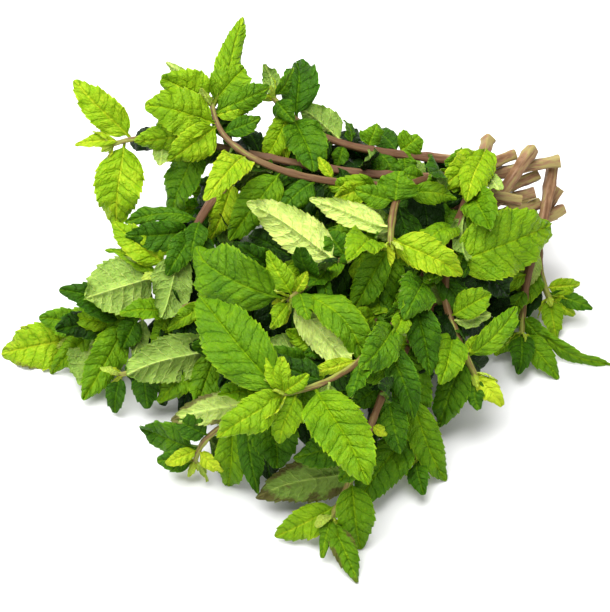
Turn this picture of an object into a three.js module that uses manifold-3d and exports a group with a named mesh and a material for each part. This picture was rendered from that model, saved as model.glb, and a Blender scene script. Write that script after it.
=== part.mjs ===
// A bunch of fresh mint, cut and laid loose on a flat surface: sixteen square stems that cross where they
// were held, fan out to the left and the front, and carry the bunch's larger leaves.
//
// Millimetres. +X is to the right, where the cut ends lie, +Y is to the back and +Z is up. The origin is the
// middle of the footprint, on the surface.

import * as THREE from "three";
import { mergeVertices } from "three/addons/utils/BufferGeometryUtils.js";
import Module from "manifold-3d";

// ---- Driving dimensions ----

const BUNCH_SPREAD = 240; // how far the stems reach along X, from the cut ends to the furthest tip
const BUNCH_HEIGHT = 85; // the height that the highest stem reaches
const STEM_BUTT = 5.6; // across the corners of a square stem, at its cut end
const STEM_TIP = 2.4; // the same, at its growing tip
const LEAF_LENGTH = 59; // stem to tip on the longest leaf
const LEAF_WIDTH = 30; // across the widest leaf
const BLADE_THICKNESS = 0.8; // at the midrib; the blade thins to its edges
const KEEL_WIDTH = 2.2; // of the midrib, on the underside
const PETIOLE_WIDTH = 1.8; // the stalk of a leaf, where it leaves the stem
const PETIOLE_SHARE = 0.07; // of a leaf's length that is stalk
const TEETH = 6; // along each edge of a blade
const TOOTH_DEPTH = 0.13; // of the half blade, cut away between two teeth
const TOOTH_LEAN = 0.5; // how far a tooth points ahead, as a share of the distance between rings
const CLEARANCE = 0.4; // between any two pieces that rest on or grow from each other
const FOLD_ANGLE = 13; // degrees by which each half of a blade is lifted from flat

// The routes and leaves below are drawn for these sizes, and are scaled from them to the ones above.
const DRAWN = { spread: 240, height: 85, leafLength: 59, leafWidth: 30 };
const SPREAD_SCALE = BUNCH_SPREAD / DRAWN.spread;
const HEIGHT_SCALE = BUNCH_HEIGHT / DRAWN.height;
const LENGTH_SCALE = LEAF_LENGTH / DRAWN.leafLength;
const WIDTH_SCALE = LEAF_WIDTH / DRAWN.leafWidth;

const STEM_SIDES = 4; // mint stems are square
const STEM_STEP = 7; // length of one straight stretch of a stem
const FACING = new THREE.Vector3(0, -1, 1).normalize(); // where the upper side of an unturned leaf looks

const COLOURS = { stem: 0x8a6448, leaf: 0x5f9a1c, pale: 0xa9c468, young: 0xa6cc2c };

// ---- The sprigs ----
// route: the stem's own line from its cut end to its tip, as [x, y, z]. Its points are the stem's joints.
// leaves: [joint it grows from, [reach of its tip from there, x, y, z], width, turn, arch, colour].
//   joint   0 is the cut end, and 4.5 is halfway between the fifth and sixth points
//   turn    degrees about the leaf's own line, away from facing FACING; 180 shows the underside
//   arch    how far the blade's middle bows out of a straight line, as a share of its length

const SPRIGS = [
  {
    name: "sprig_01", // along the back, to the tallest crown
    route: [
      [94, 30, 50], [72, 34, 56], [40, 27, 60], [10, 26, 64], [-8, 28, 66],
      [-24, 33, 72], [-35, 39, 77], [-40, 47, 80], [-39, 54, 85],
    ],
    leaves: [
      [7, [-28, 3, 8], 22, 0, 0.1, "leaf"],
      [6.8, [-34, 3, -10], 20, -20, 0.12, "leaf"],
      [8, [-21, 6, 8], 22, 0, 0.1, "leaf"],
      [8, [14, 12, 8], 20, 10, 0.1, "leaf"],
      [7.8, [11, 42, 16], 15, 30, 0.15, "leaf"],
      [5.2, [-16, -31, 6], 15, 10, 0.15, "young"],
    ],
  },
  {
    name: "sprig_02", // along the back, to the left-hand crown
    route: [
      [112, 55, 50], [92, 48, 50], [72, 43, 51], [45, 38, 55], [14, 37, 60], [-8, 42, 62],
      [-24, 45, 64], [-45, 49, 68], [-66, 50, 72], [-76, 48, 71], [-83, 45, 69],
    ],
    leaves: [
      [9, [-24, 16, 17], 16, 0, 0.08, "young"],
      [9.3, [-4, -23, -28], 22, 0, 0.1, "leaf"],
      [7, [-12, -20, -25], 18, 20, 0.1, "leaf"],
    ],
  },
  {
    name: "sprig_03", // the topmost stem of the back
    route: [
      [87, 55, 47], [72, 57, 51], [50, 56, 52], [26, 53, 56], [6, 55, 62], [-6, 60, 69], [-13, 66, 78],
    ],
    leaves: [
      [3.6, [-18, 8, 9], 18, 180, 0.1, "pale"],
      [5, [9, -25, -7], 20, -10, 0.12, "leaf"],
    ],
  },
  {
    name: "sprig_04", // over the top, its yellow crown hanging to the front
    route: [
      [98, 52, 52], [76, 36, 56], [60, 30, 62], [45, 25, 70], [38, 12, 76], [37, -7, 77], [37, -18, 70],
    ],
    leaves: [
      [5.8, [28, -11, -10], 17, 0, 0.1, "young"],
      [6, [-16, -20, -18], 15, 10, 0.1, "leaf"],
      [5.9, [-5, -29, -28], 20, -10, 0.12, "leaf"],
      [5.4, [-32, 16, 0], 13, 200, 0.08, "pale"],
    ],
  },
  {
    name: "sprig_05", // to the upper crown in the middle
    route: [
      [105, 53, 44], [90, 40, 46], [72, 30, 50], [45, 6, 56],
      [22, -14, 62], [7, -29, 66], [-1, -42, 66], [-6, -47, 66],
    ],
    leaves: [
      [7, [-40, 30, 2], 27, 0, 0.1, "leaf"],
      [6.7, [24, -33, -8], 18, 180, 0.06, "pale"],
      [6.2, [27, -30, -14], 17, -15, 0.1, "leaf"],
      [4.6, [-37, 21, 12], 19, 180, 0.06, "pale"],
    ],
  },
  {
    name: "sprig_06", // to the lower crown in the middle
    route: [
      [107, 45, 36], [86, 36, 40], [65, 12, 48], [50, -29, 54],
      [38, -57, 57], [20, -84, 60], [0, -95, 61], [-8, -97, 62],
    ],
    leaves: [
      [7, [-33, 48, 8], 27, -5, 0.1, "leaf"],
      [5.9, [21, -38, -15], 25, 0, 0.12, "leaf"],
    ],
  },
  {
    name: "sprig_07", // to the right of the front
    route: [
      [81, 58, 60], [76, 35, 58], [66, 9, 57], [55, -19, 52],
      [58, -29, 47], [63, -38, 41], [69, -47, 33], [73, -53, 27],
    ],
    leaves: [
      [3, [45, 28, 0], 30, 0, 0.08, "leaf"],
      [5.2, [-5, -24, -6], 16, 0, 0.12, "leaf"],
      [6.2, [21, 19, 10], 12, 20, 0.12, "leaf"],
      [6.2, [-10, -18, -22], 16, 15, 0.1, "leaf"],
    ],
  },
  {
    name: "sprig_08", // straight to the front
    route: [
      [113, 47, 30], [95, 36, 32], [70, 9, 36], [50, -32, 42], [38, -64, 44],
      [31, -85, 42], [27, -94, 36], [22, -106, 26], [17, -114, 18], [12, -120, 12],
    ],
    leaves: [
      [7.5, [2, -18, -20], 17, 0, 0.12, "leaf"],
      [9, [11, -24, -12], 11, 0, 0.08, "leaf"],
      [7.2, [-37, 2, -18], 20, 180, 0.1, "pale"],
      [8.5, [-24, -4, -15], 15, 0, 0.1, "leaf"],
      [3.7, [3, -23, -21], 19, 0, 0.1, "leaf"],
    ],
  },
  {
    name: "sprig_09", // to the left of the front
    route: [
      [100, 56, 56], [88, 36, 52], [75, 22, 48], [45, -23, 48], [10, -61, 46],
      [-20, -81, 36], [-38, -84, 26], [-44, -84, 18], [-45, -86, 9],
    ],
    leaves: [
      [7.2, [-22, 17, -6], 17, -30, 0.1, "leaf"],
      [5.6, [-4, -12, -30], 15, 0, 0.1, "leaf"],
      [5, [-36, -2, -12], 14, 180, -0.2, "pale"],
    ],
  },
  {
    name: "sprig_10", // out to the far left
    route: [
      [106, 46, 40], [88, 42, 42], [60, 31, 44], [20, 4, 46], [-20, -19, 44],
      [-60, -22, 32], [-82, -13, 20], [-92, -12, 12], [-98, -11, 7],
    ],
    leaves: [
      [8, [-31, -4, -5], 22, 0, 0.06, "leaf"],
      [6.6, [-7, -27, -7], 24, 180, 0.1, "pale"],
    ],
  },
  {
    name: "sprig_11", // a side shoot of the second stem, down to the left
    route: [
      [-27, 38, 60], [-38, 32, 62], [-43, 22, 60], [-44, 15, 55], [-43, 7, 50], [-50, 0, 45], [-62, -6, 40],
    ],
    leaves: [
      [6, [-30, -14, 0], 27, 180, 0.08, "pale"],
      [4.8, [-9, -28, -12], 20, 180, 0.1, "pale"],
    ],
  },
  {
    name: "sprig_12", // down to the right
    route: [[110, 57, 46], [107, 42, 40], [104, 34, 32], [98, 20, 20], [93, 5, 13], [95, -10, 8]],
    leaves: [
      [4.6, [35, -20, -9], 9, 40, 0.06, "leaf"],
      [5, [15, -18, -8], 12, -10, 0.1, "leaf"],
    ],
  },
  {
    name: "sprig_13", // a short one beside it
    route: [[113, 53, 36], [106, 44, 30], [100, 38, 22], [98, 21, 14], [103, 14, 10], [108, 10, 10]],
    leaves: [],
  },
  {
    name: "sprig_14", // under the left of the pile
    route: [
      [112, 49, 24], [80, 35, 25], [40, 15, 25], [0, -15, 25], [-35, -36, 24], [-62, -40, 20], [-78, -40, 14],
    ],
    leaves: [[4, [-41, -23, 6], 22, 180, 0.08, "pale"]],
  },
  {
    name: "sprig_15", // along the back of the pile, near the surface
    route: [[104, 62, 18], [70, 66, 20], [30, 68, 22], [-10, 64, 24], [-40, 52, 20]],
    leaves: [
      [3, [-22, 14, -22], 22, 160, -0.1, "leaf"],
      [2, [10, 20, -20], 20, 160, -0.1, "leaf"],
    ],
  },
  {
    name: "sprig_16", // a side shoot of the eighth stem
    route: [[42, -66, 34], [45, -72, 26], [47, -78, 14], [48, -83, 8]],
    leaves: [
      [0.4, [14, -22, -30], 15, 0, 0.1, "leaf"],
      [1.8, [-21, -30, -15], 20, 0, 0.1, "leaf"],
    ],
  },
];

// ---- Solids ----

const wasm = await Module();
wasm.setup();

// A closed geometry through rings of points that all have the same number of points. A ring of one point is an
// apex; a longer first or last ring is closed by a flat fan.
function loft(rings) {
  const positions = rings.flat().flatMap((p) => [p.x, p.y, p.z]);
  const starts = rings.map((_, i) => rings.slice(0, i).reduce((sum, ring) => sum + ring.length, 0));
  const faces = [];
  for (let i = 0; i + 1 < rings.length; i++) {
    const [here, next] = [rings[i].length, rings[i + 1].length];
    for (let k = 0; k < Math.max(here, next); k++) {
      const [a, b] = [starts[i] + (k % here), starts[i] + ((k + 1) % here)];
      const [c, d] = [starts[i + 1] + (k % next), starts[i + 1] + ((k + 1) % next)];
      if (here > 1) faces.push(a, b, c);
      if (next > 1) faces.push(b, d, c);
    }
  }
  const last = rings.length - 1;
  const end = starts[last];
  for (let k = 1; k + 1 < rings[0].length; k++) faces.push(0, k + 1, k);
  for (let k = 1; k + 1 < rings[last].length; k++) faces.push(end, end + k, end + k + 1);
  const geometry = new THREE.BufferGeometry();
  geometry.setAttribute("position", new THREE.Float32BufferAttribute(positions, 3));
  geometry.setIndex(faces);
  return geometry;
}

function solidOf(geometry) {
  const plain = new THREE.BufferGeometry().setAttribute("position", geometry.getAttribute("position"));
  const merged = mergeVertices(plain.setIndex(geometry.index), 1e-4);
  const mesh = new wasm.Mesh({
    numProp: 3,
    vertProperties: merged.attributes.position.array,
    triVerts: new Uint32Array(merged.index.array),
  });
  return new wasm.Manifold(mesh);
}

// ---- Stems ----

// The radius to a stem's corners, at a share of its length from the cut end.
const stemRadius = (share) => THREE.MathUtils.lerp(STEM_BUTT, STEM_TIP, share) / 2;

function drawnCurve(route) {
  const points = route.map(
    ([x, y, z]) => new THREE.Vector3(x * SPREAD_SCALE, y * SPREAD_SCALE, z * HEIGHT_SCALE),
  );
  return new THREE.CatmullRomCurve3(points, false, "centripetal");
}

// Moves the stems apart until none is nearer to another, or to the surface, than its thickness allows.
function laidApart(curves) {
  const SPACING = 2.5;
  const ROUNDS = 400;
  const stems = curves.map((curve) => {
    const count = Math.ceil(curve.getLength() / SPACING);
    return curve.getPoints(count).map((at, i) => ({ at, radius: stemRadius(i / count) }));
  });
  for (let round = 0; round < ROUNDS; round++) {
    let touching = false;
    stems.forEach((stem, s) => {
      for (const other of stems.slice(s + 1)) {
        for (const p of stem) {
          for (const q of other) {
            const apart = p.at.distanceTo(q.at);
            const wanted = p.radius + q.radius + 1.5 * CLEARANCE + 0.1 * SPACING;
            if (apart >= wanted) continue;
            const push = p.at.clone().sub(q.at).setLength((wanted - apart) / 2);
            p.at.add(push);
            q.at.sub(push);
            touching = true;
          }
        }
      }
      for (const p of stem) p.at.z = Math.max(p.at.z, p.radius);
      smoothed(stem);
    });
    if (!touching) break;
  }
  return stems.map((stem) => new THREE.CatmullRomCurve3(stem.map((p) => p.at)));
}

// Eases each point a little towards the middle of its neighbours, so that a push bends a stem gently.
function smoothed(stem) {
  const EASE = 0.15;
  for (let i = 1; i + 1 < stem.length; i++) {
    const middle = stem[i - 1].at.clone().add(stem[i + 1].at).multiplyScalar(0.5);
    stem[i].at.lerp(middle, EASE);
  }
}

function stemGeometry(curve) {
  const steps = Math.round(curve.getLength() / STEM_STEP);
  const frames = curve.computeFrenetFrames(steps, false);
  const rings = frames.normals.map((normal, i) => {
    const radius = stemRadius(i / steps);
    return Array.from({ length: STEM_SIDES }, (_, k) => {
      const angle = (2 * Math.PI * k) / STEM_SIDES;
      return curve
        .getPointAt(i / steps)
        .addScaledVector(normal, radius * Math.cos(angle))
        .addScaledVector(frames.binormals[i], radius * Math.sin(angle));
    });
  });
  return loft(rings);
}

// ---- Leaves ----

// Half the blade's width at a share of the blade's length, as a share of half its greatest width: round at the
// stalk, widest before the middle and drawn out to the tip.
const outline = (share) => Math.sin(Math.PI * share ** 0.75) ** 0.8;

// A leaf as rings of five points from its stalk to its tip: left edge, midrib, right edge, and the two sides of
// the keel under the midrib. Every second ring is a tooth: its edges are wider, and lean towards the tip.
function leafGeometry({ base, reach, width, turn, arch }, thickness = BLADE_THICKNESS) {
  const length = reach.length();
  const along = reach.clone().normalize();
  const up = FACING.clone().addScaledVector(along, -FACING.dot(along)).normalize();
  up.applyAxisAngle(along, THREE.MathUtils.degToRad(turn));
  const rise = 4 * arch * length;
  const spine = (u) => base.clone().addScaledVector(reach, u).addScaledVector(up, rise * u * (1 - u));
  const fold = THREE.MathUtils.degToRad(FOLD_ANGLE);

  const ringAt = (u, halfWidth, lean) => {
    const forward = reach.clone().addScaledVector(up, rise * (1 - 2 * u)).normalize();
    const side = forward.clone().cross(up).normalize();
    const normal = side.clone().cross(forward);
    const point = (across, above, ahead) =>
      spine(u).addScaledVector(side, across).addScaledVector(normal, above).addScaledVector(forward, ahead);
    const edge = halfWidth * Math.cos(fold);
    const lift = halfWidth * Math.sin(fold);
    return [
      point(-edge, lift, lean),
      point(0, thickness / 2, 0),
      point(edge, lift, lean),
      point(KEEL_WIDTH / 4, -thickness / 2, 0),
      point(-KEEL_WIDTH / 4, -thickness / 2, 0),
    ];
  };

  const rings = [ringAt(0, PETIOLE_WIDTH / 2, 0), ringAt(PETIOLE_SHARE, PETIOLE_WIDTH / 2, 0)];
  const last = 2 * TEETH;
  for (let i = 1; i <= last; i++) {
    const share = i / (last + 1);
    const tooth = i % 2 === 0;
    const across = outline(share) * (tooth ? 1 : 1 - TOOTH_DEPTH);
    const lean = tooth ? (TOOTH_LEAN * length) / last : 0;
    const halfWidth = THREE.MathUtils.lerp(PETIOLE_WIDTH, width, across) / 2;
    rings.push(ringAt(PETIOLE_SHARE + (1 - PETIOLE_SHARE) * share, halfWidth, lean));
  }
  return loft([...rings, [spine(1)]]);
}

// Where a leaf leaves its stem: just off the stem's skin, on the side that the leaf reaches to. A stalk that
// leans along the stem starts further out, so that its cut edge clears the skin too.
function leafBase(curve, share, reach) {
  const tangent = curve.getTangent(share);
  const out = reach.clone().addScaledVector(tangent, -reach.dot(tangent)).normalize();
  const lean = Math.abs(reach.clone().normalize().dot(tangent));
  const off = 1.5 * CLEARANCE + (lean * PETIOLE_WIDTH) / 2;
  if (share < 1) return curve.getPoint(share).addScaledVector(out, stemRadius(share) + off);
  return curve.getPoint(1).addScaledVector(tangent, off).addScaledVector(out, stemRadius(1) / 2);
}

// The ways in which a leaf may lie, from as drawn to well aside: its tip nearer to or further from the side
// that leaves face, in millimetres; the blade turned, in degrees; and the blade bowed more or less. SAME_EFFORT
// holds a change of each that takes as much effort as the others.
const SAME_EFFORT = { nearer: 6, turned: 15, bowed: 0.08 };
const WAYS_TO_LIE = [];
for (const nearer of [0, 4, -4, 8, -8, 12, -12, 16, -16, 22, -22]) {
  for (const turned of [0, 15, -15, 30, -30, 50, -50]) {
    for (const bowed of [0, 0.08, -0.08, 0.16, -0.16]) {
      const change = { nearer, turned, bowed };
      const efforts = Object.keys(change).map((key) => Math.abs(change[key]) / SAME_EFFORT[key]);
      WAYS_TO_LIE.push({ ...change, effort: efforts[0] + efforts[1] + efforts[2] });
    }
  }
}
WAYS_TO_LIE.sort((a, b) => a.effort - b.effort);

// How much of a geometry's volume lies inside the pieces already placed.
function overlap(geometry, placed) {
  geometry.computeBoundingBox();
  const near = placed.filter((piece) => piece.box.intersectsBox(geometry.boundingBox));
  if (near.length === 0) return 0;
  const solid = solidOf(geometry);
  return near.reduce((sum, piece) => sum + solid.intersect(piece.solid).volume(), 0);
}

// The leaf as it comes to lie: the least effort that keeps it CLEARANCE away from everything already placed,
// and above the surface.
function layLeaf(leaf, placed) {
  let best = null;
  for (const { nearer, turned, bowed } of WAYS_TO_LIE) {
    const tip = leaf.base.clone().add(leaf.reach).addScaledVector(FACING, nearer);
    tip.z = Math.max(tip.z, 0);
    const lain = {
      ...leaf,
      reach: tip.sub(leaf.base),
      turn: leaf.turn + turned,
      arch: leaf.arch + bowed,
    };
    const geometry = leafGeometry(lain);
    geometry.computeBoundingBox();
    if (geometry.boundingBox.min.z < 0) continue;
    const shared = overlap(leafGeometry(lain, BLADE_THICKNESS + 2 * CLEARANCE), placed);
    if (!best || shared < best.shared) best = { geometry, shared };
    if (shared === 0) break;
  }
  return best.geometry;
}

// ---- The bunch ----

const LETTERS = "abcdefgh";
const bunch = new THREE.Group();
const placed = [];

function place(name, geometry, colour) {
  const material = new THREE.MeshStandardMaterial({ color: COLOURS[colour], roughness: 0.6, metalness: 0 });
  const mesh = new THREE.Mesh(geometry, material);
  mesh.name = name;
  bunch.add(mesh);
  geometry.computeBoundingBox();
  placed.push({ box: geometry.boundingBox, solid: solidOf(geometry) });
}

const curves = laidApart(SPRIGS.map((sprig) => drawnCurve(sprig.route)));
SPRIGS.forEach((sprig, i) => place(`${sprig.name}_stem`, stemGeometry(curves[i]), "stem"));

SPRIGS.forEach((sprig, i) => {
  sprig.leaves.forEach(([joint, [x, y, z], width, turn, arch, colour], k) => {
    const share = joint / (sprig.route.length - 1);
    const reach = new THREE.Vector3(x, y, z).multiplyScalar(LENGTH_SCALE);
    const base = leafBase(curves[i], share, reach);
    const name = `${sprig.name}_leaf_${LETTERS[k]}`;
    const leaf = { base, reach, width: width * WIDTH_SCALE, turn, arch };
    place(name, layLeaf(leaf, placed), colour);
  });
});

// Sets the bunch on the surface, with the origin under the middle of its footprint.
const box = new THREE.Box3().setFromObject(bunch);
const middle = box.getCenter(new THREE.Vector3());
bunch.position.set(-middle.x, -middle.y, -box.min.z);

export default bunch;
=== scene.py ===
"""A loose bunch of fresh mint on a pale floor, grown leaf by leaf on the stems of its CAD frame.

Every CAD leaf is read back as a base, a reach, an upper side and a width, and is grown again from them as
a thin toothed blade with sunken veins. The leaves that are too many for the CAD grow on its stems in the
same way.

Lengths in this script are millimetres until a mesh is made, and shares run from 0 at a stem's cut end or a
leaf's stalk to 1 at its tip.
"""

import math
from dataclasses import dataclass, replace

import bpy
import numpy as np
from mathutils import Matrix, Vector
from mathutils.bvhtree import BVHTree


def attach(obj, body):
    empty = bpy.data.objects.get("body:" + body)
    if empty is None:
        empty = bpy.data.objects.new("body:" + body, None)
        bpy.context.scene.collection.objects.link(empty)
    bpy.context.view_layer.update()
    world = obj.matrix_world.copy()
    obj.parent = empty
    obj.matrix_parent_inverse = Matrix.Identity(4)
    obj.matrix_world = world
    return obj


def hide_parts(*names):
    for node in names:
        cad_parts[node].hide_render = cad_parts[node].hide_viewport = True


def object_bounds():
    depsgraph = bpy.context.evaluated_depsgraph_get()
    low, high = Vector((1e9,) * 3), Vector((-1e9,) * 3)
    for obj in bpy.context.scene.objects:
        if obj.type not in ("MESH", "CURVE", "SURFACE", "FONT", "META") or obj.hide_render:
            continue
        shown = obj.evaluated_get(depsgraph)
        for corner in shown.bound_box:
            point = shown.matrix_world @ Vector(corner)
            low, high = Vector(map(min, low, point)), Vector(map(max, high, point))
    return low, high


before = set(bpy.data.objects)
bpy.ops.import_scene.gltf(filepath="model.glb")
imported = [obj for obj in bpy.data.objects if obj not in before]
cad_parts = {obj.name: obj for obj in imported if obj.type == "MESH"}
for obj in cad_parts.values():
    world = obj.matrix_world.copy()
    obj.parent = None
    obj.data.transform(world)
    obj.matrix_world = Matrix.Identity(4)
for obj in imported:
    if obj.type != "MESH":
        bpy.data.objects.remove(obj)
cad_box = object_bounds()

METRE = 1000.0
UP = np.array([0.0, 0.0, 1.0])
FACING = np.array([0.0, -1.0, 1.0]) / math.sqrt(2)  # where the upper side of an unturned leaf looks

STALK_SHARE = 0.07  # of a leaf's length
STALK_ROWS = 4
STALK_WIDTH = 1.5
BLADE_THICKNESS = 0.32
TOOTH_SPACING = 2.9
TOOTH_STEPS = 4  # stations along each tooth of a leaf's edge
TOOTH_DEPTH = 0.07  # of the half width
TOOTH_LEAN = 0.22  # how far a tooth points ahead, as a share of its spacing
WIDEST = 0.38  # where a blade is widest, as a share of its length
BASE_ROUNDNESS = 0.5  # below 1 is rounder
FEWEST_VEINS = 3.5  # side veins on each half of the smallest blade
VEIN_SPACING = 11.0  # blade length for each further side vein
VEIN_LEAN = 0.2  # how far ahead a side vein meets the edge, as a share of the blade's length
FOLD_ANGLE = 15.0  # degrees by which each half of a blade rises from the midrib
SWAY = 0.07  # how far the midrib may bend sideways, as a share of the length
TIP_CURL = 0.11  # how far the tip may turn down, as a share of the length
TIP_TWIST = 0.5  # radians by which the tip may turn about the midrib
BILLOWS = (34.0, 19.0, 11.0)  # the lengths of the swells in a blade
FULL_DETAIL_LENGTH = 30.0  # a leaf shorter than this has a thinner stalk and a shallower relief
FULL_DETAIL_WIDTH = 26.0  # the relief is as deep as drawn on a blade of this width
LOWEST = 0.05  # no leaf goes below this height over the floor
BUMP_DEPTH = 0.0006  # metres


# ---- Small tools ----


def unit(v):
    return v / np.linalg.norm(v, axis=-1, keepdims=True)


def smooth(a, b, x):
    t = np.clip((x - a) / (b - a), 0, 1)
    return t * t * (3 - 2 * t)


def rotated(v, axis, angle):
    """v turned about a unit axis by an angle in radians."""
    cross = np.cross(axis, v)
    along = axis * np.sum(axis * v, axis=-1, keepdims=True)
    angle = np.asarray(angle)[..., None]
    return v * np.cos(angle) + cross * np.sin(angle) + along * (1 - np.cos(angle))


# ---- The frame, read back ----

RING_POINTS = 5  # of a CAD blade: two edges, the top of the midrib and the keel's two sides


def mesh_of(node):
    """A CAD node's points in mm, with the doubled ones merged, and each point's neighbours."""
    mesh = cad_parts[node].data
    raw = np.array([v.co for v in mesh.vertices]) * METRE
    points, index = np.unique(raw.round(3), axis=0, return_inverse=True)
    index = index.reshape(-1)
    near = [set() for _ in points]
    for edge in mesh.edges:
        a, b = index[edge.vertices[0]], index[edge.vertices[1]]
        near[a].add(b)
        near[b].add(a)
    return points, near


def layers(near, start):
    """The points in layers, by how many edges they are from the ones in start."""
    seen = set(start)
    layer = list(start)
    found = []
    while layer:
        found.append(layer)
        layer = sorted({n for p in layer for n in near[p]} - seen)
        seen.update(layer)
    return found


@dataclass
class Stem:
    """A CAD stem, read back."""

    name: str
    points: np.ndarray  # along the middle of the stem, from its cut end
    radii: np.ndarray  # to its corners

    def at(self, share):
        x = share * (len(self.points) - 1)
        steps = np.arange(len(self.points))
        return np.array([np.interp(x, steps, self.points[:, k]) for k in range(3)])

    def tangent(self, share):
        return unit(self.at(min(share + 0.02, 1)) - self.at(max(share - 0.02, 0)))

    def radius(self, share):
        return np.interp(share, np.linspace(0, 1, len(self.radii)), self.radii)

    @property
    def length(self):
        return np.linalg.norm(np.diff(self.points, axis=0), axis=1).sum()


def read_stem(node):
    """The stem from its four-cornered rings, which are counted from one of its ends."""
    points, near = mesh_of(node)
    far = layers(near, layers(near, [0])[-1][:1])[-1][0]
    end = np.argsort(np.linalg.norm(points - points[far], axis=1))[:4]
    rings = layers(near, list(end))
    middles = np.array([points[ring].mean(axis=0) for ring in rings])
    radii = np.array([np.linalg.norm(points[r] - m, axis=1).mean() for r, m in zip(rings, middles)])
    if radii[0] < radii[-1]:
        middles, radii = middles[::-1], radii[::-1]
    return Stem(node.removesuffix("_stem"), middles, radii)


@dataclass
class Leaf:
    """What a leaf is grown from."""

    base: np.ndarray
    reach: np.ndarray  # from the base to the tip
    up: np.ndarray  # the upper side, square to the reach
    width: float
    arch: float = 0.1  # how far the middle bows out of a straight line, as a share of the length
    age_and_shade: float = 0.5  # 0 an old dark leaf, and also an inner leaf made dark as painted shade; 1 a young yellow one
    roll: float = 0.25  # radians by which the edges turn down
    ripple: float = 0.065  # how far the edges wave, as a share of the width
    brown: float = 0.0  # how far the edges have dried
    seed: int = 0

    @property
    def length(self):
        return np.linalg.norm(self.reach)


def blade_rings(near):
    """The apex of a CAD blade, which is a stack of rings, and its rings from the stalk."""
    for apex in range(len(near)):
        rings = layers(near, [apex])[1:]
        if all(len(ring) == RING_POINTS for ring in rings):
            return apex, rings[::-1]


def read_leaf(node):
    points, near = mesh_of(node)
    apex, rings = blade_rings(near)
    middle = points[rings[len(rings) // 2]]
    apart = np.linalg.norm(middle[:, None] - middle[None], axis=2)
    left, right = np.unravel_index(apart.argmax(), apart.shape)
    others = [k for k in range(RING_POINTS) if k not in (left, right)]
    side = unit(middle[right] - middle[left])
    halfway = (middle[left] + middle[right]) / 2
    top = min(others, key=lambda k: abs((middle[k] - halfway).dot(side)))
    keel = middle[[k for k in others if k != top]].mean(axis=0)
    base = points[rings[0]].mean(axis=0)
    reach = points[apex] - base
    along = unit(reach)
    up = middle[top] - keel
    up = unit(up - along * up.dot(along))
    centre = (middle[top] + keel) / 2
    share = (centre - base).dot(along) / np.linalg.norm(reach)
    bow = (centre - base).dot(up)
    arch = bow / (4 * share * (1 - share) * np.linalg.norm(reach))
    widths = [max(np.linalg.norm(p - q) for p in points[r] for q in points[r]) for r in rings]
    return Leaf(base, reach, up, max(widths), arch)


stems = {}
cad_leaves = {}
for node in sorted(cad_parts):
    if node.endswith("_stem"):
        stems[node.removesuffix("_stem")] = read_stem(node)
    else:
        cad_leaves[node] = read_leaf(node)


# ---- Meshes ----


def grid_faces(rows, columns, offset=0, flip=False):
    r, c = np.meshgrid(np.arange(rows - 1), np.arange(columns - 1), indexing="ij")
    a = offset + r * columns + c
    quads = np.stack([a, a + 1, a + columns + 1, a + columns], axis=-1).reshape(-1, 4)
    return quads[:, ::-1] if flip else quads


def make_object(name, points, faces, attributes, material):
    """An object from points in mm. attributes is {name: one vector for each point}."""
    mesh = bpy.data.meshes.new(name)
    mesh.from_pydata((points / METRE).tolist(), [], [list(f) for f in faces])
    mesh.validate()
    for key, values in attributes.items():
        layer = mesh.attributes.new(key, "FLOAT_VECTOR", "POINT")
        layer.data.foreach_set("vector", np.asarray(values, dtype=np.float32).reshape(-1))
    mesh.shade_smooth()
    mesh.set_sharp_from_angle(angle=math.radians(50))
    mesh.materials.append(material)
    made = bpy.data.objects.new(name, mesh)
    bpy.context.scene.collection.objects.link(made)
    return made


# ---- Leaves ----


def outline(share):
    """Half the blade's width at a share of the blade's length, as a share of its greatest."""
    share = np.clip(share, 0, 1)
    tip_roundness = BASE_ROUNDNESS * (1 - WIDEST) / WIDEST
    return (share / WIDEST) ** BASE_ROUNDNESS * ((1 - share) / (1 - WIDEST)) ** tip_roundness


def billows(rng, x, y):
    """Smooth random swells, about -1 to 1, over places in mm."""
    total = 0.0
    for wavelength in BILLOWS:
        heading = rng.uniform(0, 2 * math.pi)
        run = x * math.cos(heading) + y * math.sin(heading)
        weight = (wavelength / 38) ** 1.5
        total = total + weight * np.sin(2 * math.pi * run / wavelength + rng.uniform(0, 6))
    return total


def per_point(values):
    """The same numbers with a last axis of one, to multiply vectors by."""
    return values[..., None]


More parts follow.
